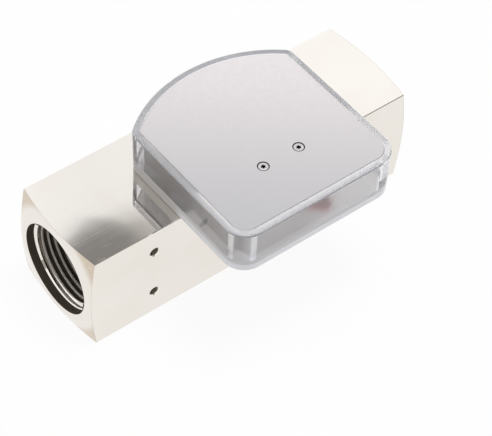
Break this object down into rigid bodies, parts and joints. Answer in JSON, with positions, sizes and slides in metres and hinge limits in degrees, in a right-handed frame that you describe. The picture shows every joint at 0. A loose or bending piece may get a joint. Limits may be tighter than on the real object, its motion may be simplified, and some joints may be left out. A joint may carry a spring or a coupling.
{
  "type": "variable area flow meter",
  "caption": "Square metal pipe body with female pipe threads and a clear, metal-covered display box: a spring-loaded float inside moves a pointer by magnets.",
  "frame": {"origin": "centre of the underside of the square bar", "axes": "+X along the flow from inlet to outlet, +Z from the bar's underside to the cover plate"},
  "size_m": [0.136, 0.073, 0.059],
  "materials": {
    "nickel": "polished nickel plate",
    "clear_plastic": "clear moulded plastic",
    "satin_metal": "satin plate",
    "steel": "bright steel",
    "zinc_steel": "zinc plated steel",
    "spring_steel": "drawn wire",
    "brass": "turned brass",
    "white_plastic": "moulded plastic",
    "red_plastic": "moulded plastic",
    "black_rubber": "moulded rubber",
    "magnet": "sintered ferrite",
    "scale_white": "printed strip"
  },
  "bodies": {
    "meter": {"pipe_body": "nickel", "metering_sleeve": "brass", "sleeve_seal": "black_rubber", "inlet_spider": "brass", "outlet_spider": "brass", "retaining_rings": "spring_steel", "guide_rod": "steel", "rod_nuts": "steel", "stop_washer": "white_plastic", "return_spring": "spring_steel", "display_hood": "clear_plastic", "cover_gasket": "black_rubber", "cover_plate": "satin_metal", "cover_screws": "steel", "threaded_inserts": "brass", "hood_screws": "zinc_steel", "hood_washers": "zinc_steel", "scale_band": "scale_white", "lower_bush": "brass", "upper_bush": "brass"},
    "float": {"float": "brass", "float_bushes": "white_plastic", "ring_magnet": "magnet", "magnet_retainer": "steel"},
    "pointer": {"pointer": "red_plastic", "pivot_pin": "steel", "follower_magnet": "magnet", "balance_weight": "brass"}
  },
  "joints": [
    {"name": "float_slide", "type": "slide", "parent": "meter", "child": "float", "axis": [1, 0, 0], "range_m": [0, 0.03], "stiffness_N_per_m": 60, "springref_m": -0.012, "deforming": ["return_spring"]},
    {"name": "pointer_swing", "type": "hinge", "parent": "meter", "child": "pointer", "pos_m": [0.0018, -0.0314, 0.044], "axis": [0, 0, -1], "range_deg": [0, 54.07]}
  ],
  "couplings": [
    {"joint": "pointer_swing", "follows": "float_slide", "rad_per_m": 31.456}
  ]
}
